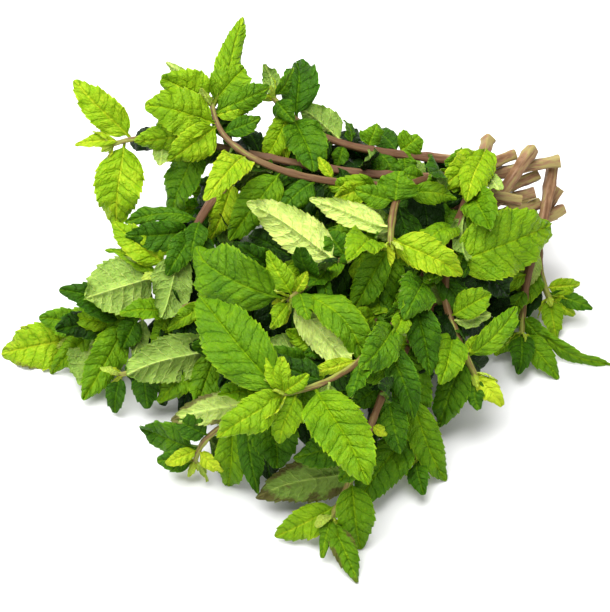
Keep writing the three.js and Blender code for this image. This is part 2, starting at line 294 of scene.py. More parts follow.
class Blade:
    """The shape of one leaf, on a grid with rows from its stalk to its tip and columns across it.

    Each method draws its random numbers from rng, so skins calls them in a fixed order.
    """

    def __init__(self, leaf, fine):
        self.leaf = leaf
        self.rng = np.random.default_rng(leaf.seed)
        self.scale = min(1.0, leaf.length / FULL_DETAIL_LENGTH)
        self.relief_size = leaf.width / FULL_DETAIL_WIDTH * self.scale
        self.teeth = int(np.clip(leaf.length / TOOTH_SPACING, 5, 18) * (1 if fine > 0.6 else 0.7))

        stalk = np.linspace(0, STALK_SHARE, STALK_ROWS, endpoint=False)
        along_blade = np.linspace(0.004, 0.995, self.teeth * TOOTH_STEPS + 1)
        self.t = np.concatenate([stalk, STALK_SHARE + (1 - STALK_SHARE) * along_blade])[:, None]
        self.share = np.clip((self.t - STALK_SHARE) / (1 - STALK_SHARE), 0, 1)

        # v is -1 at one edge, 0 on the midrib and 1 at the other edge; its columns are closer near the edges.
        self.middle = int(6 + 6 * fine)
        v = np.linspace(-1, 1, 2 * self.middle + 1)[None, :]
        self.v = np.sign(v) * (1 - (1 - np.abs(v)) ** 1.25)
        self.side = np.sign(self.v)
        self.reached = np.abs(self.v)
        self.on_blade = smooth(0.0, 0.06, self.share) * smooth(1.0, 0.9, self.share)
        self.off_midrib = self.on_blade * smooth(0.0, 0.12, self.reached)

        self.half = self.half_width()
        self.wave = self.rng.uniform(-1, 1, 3)

    def half_width(self):
        """From the midrib to the edge, in mm. The two halves differ a little."""
        stalk_half = STALK_WIDTH * self.scale / 2 * (1 - self.share)
        half = stalk_half + outline(self.share) * (self.leaf.width / 2 - stalk_half)
        half = half * (1 + self.side * self.rng.uniform(-0.06, 0.06))
        swing = self.share * self.rng.uniform(5, 9) + self.side * 2 + self.rng.uniform(0, 6)
        return half * (1 + 0.03 * np.sin(swing))

    def midrib(self):
        """The line of the midrib, and the directions ahead, across and above at each row."""
        leaf, t = self.leaf, self.t
        rise = 4 * leaf.arch * leaf.length * t * (1 - t)
        sway = np.cross(unit(leaf.reach), leaf.up) * leaf.length * SWAY * self.wave[0]
        spine = leaf.base + leaf.reach * t + leaf.up * rise + sway * np.sin(np.pi * t) * t
        spine = spine + leaf.up * leaf.length * 0.12 * np.sin(5 * t + 6 * self.wave[1]) * t * (1 - t)
        curl = TIP_CURL * self.rng.uniform(-0.5, 1) * smooth(0.55, 1.0, t) ** 2
        spine = spine - leaf.up * leaf.length * curl
        forward = unit(np.gradient(spine, axis=0))
        across = unit(np.cross(forward, leaf.up))
        above = np.cross(across, forward)
        twist = self.rng.uniform(-TIP_TWIST, TIP_TWIST) * t[:, 0] ** 2
        return spine, forward, rotated(across, forward, twist), rotated(above, forward, twist)

    def slope(self):
        """How steeply the blade rises from the midrib before it turns down to its edge, in radians."""
        fold = math.radians(FOLD_ANGLE) * (1 + 0.6 * self.rng.uniform(-1, 1))
        fold = fold * (1 + self.side * self.rng.uniform(-0.4, 0.4))
        swing = self.share * 6 + self.rng.uniform(0, 6) + self.side * self.rng.uniform(0, 2)
        rolled = self.leaf.roll * (1 + 0.7 * np.sin(swing))
        return fold - rolled * 2.4 * self.reached**2.2

    def outward(self, values):
        """Adds up values from the midrib to each edge."""
        mean = (values[:, 1:] + values[:, :-1]) / 2 * np.abs(np.diff(self.v, axis=1))
        total = np.zeros_like(values)
        total[:, self.middle + 1 :] = np.cumsum(mean[:, self.middle :], axis=1)
        total[:, : self.middle] = np.cumsum(mean[:, : self.middle][:, ::-1], axis=1)[:, ::-1]
        return total

    def vein_number(self):
        """How many side veins lie between the stalk and a point. On a vein it is a whole number."""
        pairs = FEWEST_VEINS + self.leaf.length / VEIN_SPACING
        behind = VEIN_LEAN * self.reached**1.15 * (1 - 0.5 * self.share)
        number = pairs * (self.share - behind + 0.03) + 0.18 * np.tanh(self.v * self.half)
        return number + 0.1 * np.sin(self.share * 11 + self.rng.uniform(0, 6))

    def relief(self, vein):
        """How far the blade swells between its veins, billows and waves at its edge, in mm."""
        leaf, share, reached = self.leaf, self.share, self.reached
        aside = self.v * self.half
        ahead = self.t * leaf.length
        swell = np.sin(np.pi * np.abs(vein - np.round(vein))) ** 0.8 * (1 - reached**3)
        lift = self.off_midrib * (1.05 * swell - 0.45) * self.relief_size
        grain = np.sin(aside * 2.1 + 3 * vein + self.wave[2] * 9) * np.sin(ahead * 1.7 + aside * 0.8)
        lift = lift + 0.24 * self.off_midrib * grain * self.relief_size
        billow = billows(self.rng, aside, ahead) * smooth(0.1, 0.7, reached)
        lift = lift + leaf.ripple * leaf.width * 0.9 * billow
        lift = lift - 0.5 * self.relief_size * self.on_blade * np.exp(-((aside / 0.8) ** 2))
        swing = share * self.rng.uniform(13, 19) + self.side * self.rng.uniform(0.5, 2.5)
        waves = np.sin(swing + self.rng.uniform(0, 6))
        swing = share * self.rng.uniform(24, 32) + self.side
        waves = waves + 0.4 * np.sin(swing + self.rng.uniform(0, 6))
        return lift + leaf.ripple * leaf.width * waves * reached**2.2 * self.on_blade

    def tooth(self):
        """How far each row is out along its tooth: a tooth runs outwards, then drops back to the edge."""
        row = np.arange(len(self.t))
        phase = (row - STALK_ROWS) % TOOTH_STEPS / (TOOTH_STEPS - 1)
        out = np.where(self.share > 0, phase[:, None], 0.0)
        out = out * smooth(0.02, 0.14, self.share) * smooth(1.0, 0.95, self.share)
        return out * (1 + 0.35 * np.sin(row // TOOTH_STEPS * 2.4 + self.wave[0] * 9))[:, None]

    def thickness(self, vein):
        """Between the skins, in mm. The lower one carries the midrib, which swells out into the stalk."""
        rib = 1.25 * (1 - self.t) ** 1.3 + 0.25
        rib = self.scale * rib * np.exp(-((self.v * self.half / (0.75 * self.scale)) ** 2))
        from_vein = np.abs(vein - np.round(vein))
        ridge = 0.22 * self.relief_size * self.off_midrib * np.exp(-((from_vein / 0.07) ** 2))
        return BLADE_THICKNESS * (1 - 0.6 * smooth(0.7, 1.0, self.reached)) + rib + ridge

    def skins(self):
        """Both skins as grids of points, and each point's place among the veins and on the blade."""
        spine, forward, across, above = (axis[:, None] for axis in self.midrib())
        slope = self.slope()
        out = self.outward(np.cos(slope)) * self.half
        vein = self.vein_number()
        lift = self.outward(np.sin(slope)) * self.half + self.relief(vein)

        tooth = self.tooth()
        at_edge = smooth(0.72, 1.0, self.reached)
        out = out + (tooth - 0.4) * TOOTH_DEPTH * self.half * at_edge * self.on_blade
        ahead = tooth * at_edge * self.leaf.length / self.teeth * TOOTH_LEAN

        upper = spine + across * per_point(self.side * out)
        upper = upper + above * per_point(lift) + forward * per_point(ahead)
        normal = above * per_point(np.cos(slope)) - across * per_point(self.side * np.sin(slope))
        lower = upper - normal * per_point(self.thickness(vein))
        ahead_of_base = self.t * self.leaf.length
        veins = np.stack(np.broadcast_arrays(vein, self.side * out, ahead_of_base), axis=-1)
        place = np.stack(np.broadcast_arrays(self.share, self.reached, 0.0), axis=-1)
        return upper, lower, veins, place


def leaf_mesh(leaf, fine):
    """Points, faces and attributes of one closed leaf."""
    upper, lower, veins, place = Blade(leaf, fine).skins()
    rows, columns = upper.shape[:2]
    count = rows * columns
    points = np.concatenate([upper.reshape(-1, 3), lower.reshape(-1, 3)])
    index = np.arange(count).reshape(rows, columns)
    border = np.concatenate([index[0], index[1:, -1], index[-1, -2::-1], index[-2:0:-1, 0]])
    after = np.roll(border, -1)
    rim = np.stack([border, border + count, after + count, after], axis=-1)
    faces = np.concatenate([grid_faces(rows, columns), grid_faces(rows, columns, count, flip=True), rim])
    under = place.copy()
    under[..., 2] = 1.0
    attributes = {
        "veins": np.concatenate([veins.reshape(-1, 3)] * 2),
        "place": np.concatenate([place.reshape(-1, 3), under.reshape(-1, 3)]),
        "tone": np.tile([leaf.age_and_shade, (leaf.seed * 0.618) % 1 * 50, leaf.brown], (2 * count, 1)),
    }
    return points, faces, attributes


def grow(name, leaves, material, fine=1.0):
    """One object of one or more leaves."""
    parts = [leaf_mesh(leaf, fine) for leaf in leaves]
    starts = np.cumsum([0] + [len(points) for points, _, _ in parts])
    points = np.concatenate([points for points, _, _ in parts])
    faces = np.concatenate([faces + start for (_, faces, _), start in zip(parts, starts)])
    attributes = {key: np.concatenate([part[2][key] for part in parts]) for key in parts[0][2]}
    points[:, 2] = np.maximum(points[:, 2], LOWEST)
    made = make_object(name, points, faces, attributes, material)
    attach(made, "root")
    return made


# ---- Materials ----


class Tree:
    """A material's node tree, written as plain function calls."""

    def __init__(self, name):
        self.material = bpy.data.materials.new(name)
        self.material.use_nodes = True
        self.nodes = self.material.node_tree.nodes
        self.links = self.material.node_tree.links
        self.shader = self.nodes["Principled BSDF"]

    def put(self, socket, value):
        if isinstance(value, bpy.types.NodeSocket):
            self.links.new(value, socket)
        elif isinstance(value, tuple) and len(value) == 3 and socket.type == "RGBA":
            socket.default_value = (*value, 1.0)
        else:
            socket.default_value = value

    def math(self, operation, a, b=0.0, c=0.0, clamp=False):
        node = self.nodes.new("ShaderNodeMath")
        node.operation = operation
        node.use_clamp = clamp
        for socket, value in zip(node.inputs, (a, b, c)):
            self.put(socket, value)
        return node.outputs[0]

    def add(self, total, value, weight, clamp=False):
        return self.math("MULTIPLY_ADD", value, weight, total, clamp)

    def about_zero(self, share):
        """A share from 0 to 1 as a number from -0.5 to 0.5."""
        return self.math("SUBTRACT", share, 0.5)

    def parts(self, name):
        """The three numbers of a vector attribute of the mesh."""
        node = self.nodes.new("ShaderNodeAttribute")
        node.attribute_name = name
        split = self.nodes.new("ShaderNodeSeparateXYZ")
        self.links.new(node.outputs["Vector"], split.inputs[0])
        return split.outputs

    def vector(self, x, y, z):
        node = self.nodes.new("ShaderNodeCombineXYZ")
        for socket, value in zip(node.inputs, (x, y, z)):
            self.put(socket, value)
        return node.outputs[0]

    def noise(self, vector, scale, detail=3.0):
        node = self.nodes.new("ShaderNodeTexNoise")
        self.put(node.inputs["Vector"], vector)
        node.inputs["Scale"].default_value = scale
        node.inputs["Detail"].default_value = detail
        return node.outputs[0]

    def cell_edges(self, vector, scale):
        node = self.nodes.new("ShaderNodeTexVoronoi")
        node.feature = "DISTANCE_TO_EDGE"
        self.put(node.inputs["Vector"], vector)
        node.inputs["Scale"].default_value = scale
        return node.outputs["Distance"]

    def fade(self, value, low, high):
        """0 at low and 1 at high, smoothly."""
        node = self.nodes.new("ShaderNodeMapRange")
        node.interpolation_type = "SMOOTHSTEP"
        self.put(node.inputs["Value"], value)
        node.inputs["From Min"].default_value = low
        node.inputs["From Max"].default_value = high
        return node.outputs["Result"]

    def mix(self, share, a, b):
        node = self.nodes.new("ShaderNodeMix")
        node.data_type = "RGBA"
        self.put(node.inputs[0], share)
        self.put(node.inputs[6], a)
        self.put(node.inputs[7], b)
        return node.outputs[2]

    def ramp(self, value, stops):
        node = self.nodes.new("ShaderNodeValToRGB")
        self.put(node.inputs[0], value)
        elements = node.color_ramp.elements
        while len(elements) < len(stops):
            elements.new(0.5)
        for element, (position, colour) in zip(elements, stops):
            element.position = position
            element.color = (*colour, 1.0)
        return node.outputs[0]

    def bump(self, height, strength, distance):
        node = self.nodes.new("ShaderNodeBump")
        node.inputs["Strength"].default_value = strength
        node.inputs["Distance"].default_value = distance
        self.put(node.inputs["Height"], height)
        self.links.new(node.outputs[0], self.shader.inputs["Normal"])

    def subsurface(self, weight, radius, scale):
        self.shader.inputs["Subsurface Weight"].default_value = weight
        self.shader.inputs["Subsurface Radius"].default_value = radius
        self.shader.inputs["Subsurface Scale"].default_value = scale


class LeafPattern:
    """The patterns that a leaf's colours and its bump share."""

    def __init__(self, tree):
        vein, side, along = tree.parts("veins")
        self.share, self.reached, self.under = tree.parts("place")
        self.age_and_shade, seed, self.brown = tree.parts("tone")
        flat = tree.vector(side, along, seed)
        wander = tree.math("MULTIPLY", tree.about_zero(tree.noise(flat, 0.35)), 0.5)
        bent = tree.math("ADD", vein, wander)
        from_vein = tree.math("ABSOLUTE", tree.math("SUBTRACT", bent, tree.math("ROUND", bent)))
        self.side_vein = tree.fade(from_vein, 0.09, 0.015)
        self.midrib = tree.fade(tree.math("ABSOLUTE", side), 0.6, 0.2)
        # The blade stands in small domes between the net of its smallest veins.
        net = tree.vector(tree.math("MULTIPLY", bent, 1.7), tree.math("MULTIPLY", side, 0.38), seed)
        self.domes = tree.fade(tree.cell_edges(net, 1.0), 0.0, 0.3)
        self.small_domes = tree.fade(tree.cell_edges(net, 2.3), 0.0, 0.3)
        self.patches = tree.noise(flat, 0.11, 2.0)
        self.mottle = tree.noise(flat, 0.9, 4.0)


def upper_colour(tree, pattern):
    """From dark old green to young yellow-green, with painted light and shade on its relief."""
    tone = tree.add(pattern.age_and_shade, tree.about_zero(pattern.patches), 0.4)
    tone = tree.add(tone, tree.about_zero(pattern.mottle), 0.14)
    # Painted highlight: the tone rises at the very edge, where the curled rim catches the light.
    tone = tree.add(tone, tree.fade(pattern.reached, 0.9, 1.0), 0.16)
    # Painted light over the domes between the veins, and painted shade along the sunken side veins.
    tone = tree.add(tone, pattern.domes, 0.06)
    tone = tree.add(tone, pattern.side_vein, -0.1)
    tone = tree.add(tone, pattern.midrib, 0.16, clamp=True)
    stops = [
        (0.0, (0.006, 0.022, 0.001)),
        (0.3, (0.038, 0.118, 0.002)),
        (0.55, (0.108, 0.236, 0.003)),
        (0.8, (0.222, 0.376, 0.005)),
        (1.0, (0.420, 0.530, 0.018)),
    ]
    return tree.ramp(tone, stops)


def lower_colour(tree, pattern):
    """Pale grey-green with veins lighter as painted light, and yellow-green on the very youngest."""
    tone = tree.add(pattern.age_and_shade, tree.about_zero(pattern.patches), 0.3)
    # Painted light along the raised side veins, and painted shade over the domes between them.
    tone = tree.add(tone, pattern.side_vein, 0.22)
    tone = tree.add(tone, pattern.domes, -0.14)
    tone = tree.add(tone, pattern.midrib, 0.3, clamp=True)
    stops = [
        (0.0, (0.110, 0.190, 0.028)),
        (0.5, (0.260, 0.390, 0.070)),
        (1.0, (0.560, 0.700, 0.170)),
    ]
    youngest = tree.fade(pattern.age_and_shade, 0.95, 1.0)
    return tree.mix(youngest, tree.ramp(tone, stops), (0.360, 0.480, 0.030))


def dried_share(tree, pattern):
    """Where the leaf has dried: in patches near its edges and its tip, on leaves that have brown above 0."""
    outer = tree.math("MAXIMUM", tree.fade(pattern.reached, 0.3, 1.0), tree.fade(pattern.share, 0.6, 1.0))
    dried = tree.add(tree.math("MULTIPLY", outer, pattern.brown), tree.about_zero(pattern.patches), 2.4)
    dried = tree.add(dried, tree.about_zero(pattern.mottle), 0.8)
    dried = tree.math("MULTIPLY", tree.fade(dried, 0.4, 0.85), tree.fade(pattern.brown, 0.0, 0.3))
    return tree.math("MULTIPLY", dried, 0.85)


def leaf_relief(tree, pattern):
    """Veins are sunken above and stand out below."""
    sunken = tree.math("MULTIPLY_ADD", pattern.side_vein, 0.8, tree.math("MULTIPLY", pattern.domes, -0.65))
    sunken = tree.add(sunken, pattern.small_domes, -0.3)
    sunken = tree.add(sunken, pattern.midrib, 0.4)
    direction = tree.math("MULTIPLY_ADD", pattern.under, 2.0, -1.0)
    height = tree.add(tree.math("MULTIPLY", sunken, direction), pattern.mottle, 0.4)
    tree.bump(height, 0.8, BUMP_DEPTH)


def leaf_material():
    tree = Tree("mint_leaf")
    pattern = LeafPattern(tree)
    lower_side = tree.fade(pattern.under, 0.4, 0.6)
    colour = tree.mix(lower_side, upper_colour(tree, pattern), lower_colour(tree, pattern))
    colour = tree.mix(dried_share(tree, pattern), colour, (0.095, 0.062, 0.024))
    tree.put(tree.shader.inputs["Base Color"], colour)
    roughness = tree.math("MULTIPLY_ADD", pattern.under, 0.22, 0.43)
    tree.put(tree.shader.inputs["Roughness"], tree.add(roughness, pattern.mottle, 0.16))
    leaf_relief(tree, pattern)
    tree.shader.inputs["Specular IOR Level"].default_value = 0.1
    tree.subsurface(0.22, (0.5, 1.0, 0.08), 0.0012)
    return tree.material


def stem_skin_colour(tree, streaks, patches, share, flat):
    """Olive where it was cut, then pinkish brown, and green near the tip, with dark freckles."""
    ripe = tree.add(share, tree.about_zero(patches), 1.0)
    ripe = tree.add(ripe, tree.about_zero(streaks), 0.5, clamp=True)
    stops = [
        (0.0, (0.340, 0.270, 0.095)),
        (0.12, (0.290, 0.165, 0.085)),
        (0.25, (0.180, 0.092, 0.042)),
        (0.45, (0.130, 0.058, 0.027)),
        (0.7, (0.155, 0.082, 0.033)),
        (0.88, (0.190, 0.120, 0.045)),
        (1.0, (0.270, 0.290, 0.050)),
    ]
    freckles = tree.fade(tree.noise(flat, 7.0, 2.0), 0.66, 0.72)
    return tree.mix(tree.math("MULTIPLY", freckles, 0.5), tree.ramp(ripe, stops), (0.09, 0.04, 0.025))


def stem_material():
    tree = Tree("mint_stem")
    share, around, cut = tree.parts("skin")
    along, seed, _ = tree.parts("run")
    flat = tree.vector(around, tree.math("MULTIPLY", along, 0.16), seed)
    streaks = tree.noise(flat, 1.6, 4.0)
    patches = tree.noise(tree.vector(seed, tree.math("MULTIPLY", along, 0.05), around), 0.8, 2.0)
    skin = stem_skin_colour(tree, streaks, patches, share, flat)
    pith = tree.ramp(cut, [(0.0, (0.52, 0.45, 0.24)), (0.55, (0.44, 0.36, 0.16)), (1.0, (0.22, 0.13, 0.06))])
    tree.put(tree.shader.inputs["Base Color"], tree.mix(tree.fade(cut, 1.5, 1.2), skin, pith))
    tree.put(tree.shader.inputs["Roughness"], tree.math("MULTIPLY_ADD", streaks, 0.25, 0.42))
    tree.bump(streaks, 0.5, BUMP_DEPTH)
    tree.shader.inputs["Specular IOR Level"].default_value = 0.25
    tree.subsurface(0.1, (1.0, 0.5, 0.3), 0.001)
    return tree.material


# ---- Stems ----

STEM_SIDES = 24
STEM_STEP = 1.4  # between the rings of a stem
LINE_SMOOTHINGS = 8
INTERNODE = 26.0  # between the swollen joints of a stem
JOINT_SWELL = 0.22  # of the radius
JOINT_REACH = 2.0  # how far a joint's swelling reaches to each side
STEM_FULLNESS = 1.05  # of the CAD stem's radius
SKIN = 2.0  # the value of cut on the stem's skin; on a cut end it is the share of the radius
DISH = ((0.985, 0.0), (0.8, 0.12), (0.5, 0.3), (0.12, 0.45))  # share of the radius, and mm inward


def stem_line(stem, shares):
    """The stem's middle, smoothed, with the directions along it, aside and up at each point."""
    line = np.array([stem.at(s) for s in shares])
    for _ in range(LINE_SMOOTHINGS):
        line[1:-1] = (line[:-2] + 2 * line[1:-1] + line[2:]) / 4
    forward = unit(np.gradient(line, axis=0))
    side = unit(np.cross(forward[0], UP))
    sides = []
    for f in forward:
        side = unit(side - f * side.dot(f))
        sides.append(side)
    sides = np.array(sides)
    return line, forward, sides, np.cross(sides, forward)


def stem_radii(stem, shares, rng):
    """To the corners of the stem at each share, with swollen joints."""
    along = shares * stem.length
    joint = (along / INTERNODE + rng.uniform(0, 1)) % 1
    swell = 1 + JOINT_SWELL * np.exp(-(((joint - 0.5) * INTERNODE / JOINT_REACH) ** 2))
    radii = np.array([stem.radius(s) for s in shares]) * swell * STEM_FULLNESS
    return radii * (1 + 0.03 * np.sin(along * 0.9 + rng.uniform(0, 6)))


def quads_between(index):
    """Faces between rings of points, closed round."""
    a = index[:-1]
    b = index[1:]
    quads = np.stack([a, np.roll(a, -1, axis=1), np.roll(b, -1, axis=1), b], axis=-1)
    return [list(q) for q in quads.reshape(-1, 4)]


def cut_end(outer, first, at_tip):
    """Faces that close one end of a stem, from its outer ring over the rings of its dish, whose points
    start at first."""
    faces = []
    for inner in np.arange(first, first + len(DISH) * STEM_SIDES).reshape(-1, STEM_SIDES):
        faces += quads_between(np.array([outer, inner] if at_tip else [inner, outer]))
        outer = inner
    return faces + [list(outer if at_tip else outer[::-1])]


def stem_object(stem, material, seed):
    rng = np.random.default_rng(seed)
    count = int(stem.length / STEM_STEP)
    shares = np.linspace(0, 1, count)
    line, forward, sides, ups = stem_line(stem, shares)
    along = shares * stem.length
    angle = np.linspace(0, 2 * math.pi, STEM_SIDES, endpoint=False)
    # A square with rounded corners and a shallow groove down each side, which turns a little along the stem.
    square = 0.89 + 0.1 * np.cos(4 * angle) + 0.02 * np.cos(8 * angle)
    around = angle[None, :] + 0.25 * np.sin(along * 0.03 + seed)[:, None]
    reach = stem_radii(stem, shares, rng)[:, None] * square[None, :]
    skin = line[:, None] + sides[:, None] * per_point(reach * np.cos(around))
    skin = skin + ups[:, None] * per_point(reach * np.sin(around))

    index = np.arange(count * STEM_SIDES).reshape(count, STEM_SIDES)
    rings = list(skin)
    faces = quads_between(index)
    for end, inward in ((0, forward[0]), (-1, -forward[-1])):
        faces += cut_end(index[end], len(rings) * STEM_SIDES, at_tip=end == -1)
        for shrink, depth in DISH:
            rings.append(line[end] + (skin[end] - line[end]) * shrink + inward * depth)
    dish = [shrink for shrink, _ in DISH]
    cut = np.repeat([SKIN] * count + dish + dish, STEM_SIDES)
    rows = np.repeat([*range(count)] + [0] * len(DISH) + [count - 1] * len(DISH), STEM_SIDES)
    turns = np.tile(np.cos(angle) + np.sin(angle) * 1.7, len(rings))
    attributes = {
        "skin": np.stack([shares[rows], turns, cut], axis=-1),
        "run": np.stack(np.broadcast_arrays(along[rows], seed * 3.7, 0.0), axis=-1),
    }
    made = make_object(f"{stem.name}_stem.look", np.concatenate(rings), faces, attributes, material)
    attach(made, "root")
    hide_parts(f"{stem.name}_stem")


# ---- What grows on the stems besides the CAD leaves ----

# How each CAD leaf has grown, by its sprig and its letter: age, roll.
GROWTH = {
    "sprig_01": {
        "a": (0.7, 0.2),
        "b": (0.68, 0.3),
        "c": (0.7, 0.3),
        "d": (0.6, 0.3),
        "e": (0.66, 0.5),
        "f": (0.82, 0.2),
    },
    "sprig_02": {"a": (0.8, 0.2), "b": (0.78, 0.25), "c": (0.4, 0.3)},
    "sprig_03": {"a": (0.4, 0.2), "b": (0.34, 0.3)},
    "sprig_04": {"a": (0.82, 0.3), "b": (0.42, 0.3), "c": (0.4, 0.4), "d": (0.92, 0.5)},
    "sprig_05": {"a": (0.45, 0.2), "b": (0.92, 0.2), "c": (0.5, 0.3), "d": (0.95, 0.2)},
    "sprig_06": {"a": (0.48, 0.25), "b": (0.6, 0.3)},
    "sprig_07": {"a": (0.62, 0.15), "b": (0.58, 0.3), "c": (0.55, 0.3), "d": (0.36, 0.3)},
    "sprig_08": {"a": (0.5, 0.3), "b": (0.5, 0.4), "c": (0.3, 0.3), "d": (0.68, 0.3), "e": (0.42, 0.3)},
    "sprig_09": {"a": (0.3, 0.3), "b": (0.55, 0.3), "c": (0.85, 0.4)},
    "sprig_10": {"a": (0.82, 0.25), "b": (0.5, 0.3)},
    "sprig_11": {"a": (0.55, 0.2), "b": (0.35, 0.4)},
    "sprig_12": {"a": (0.5, 0.4), "b": (0.48, 0.3)},
    "sprig_14": {"a": (0.5, 0.3)},
    "sprig_15": {"a": (0.3, 0.3), "b": (0.3, 0.3)},
    "sprig_16": {"a": (0.5, 0.3), "b": (0.36, 0.3)},
}

# How far the dried ones have browned.
DRIED = {
    "sprig_08_leaf_b": 0.6,
    "sprig_08_leaf_c": 0.9,
    "sprig_09_leaf_c": 0.9,
    "sprig_10_leaf_a": 0.55,
    "sprig_10_leaf_b": 0.3,
}

SMALLER_SEED = 200  # above the CAD leaves' seeds


def small(share, reach, width, age_and_shade, turn=0, arch=0.1, roll=0.3):
    """A row of SMALLER."""
    return share, reach, width, age_and_shade, turn, arch, roll


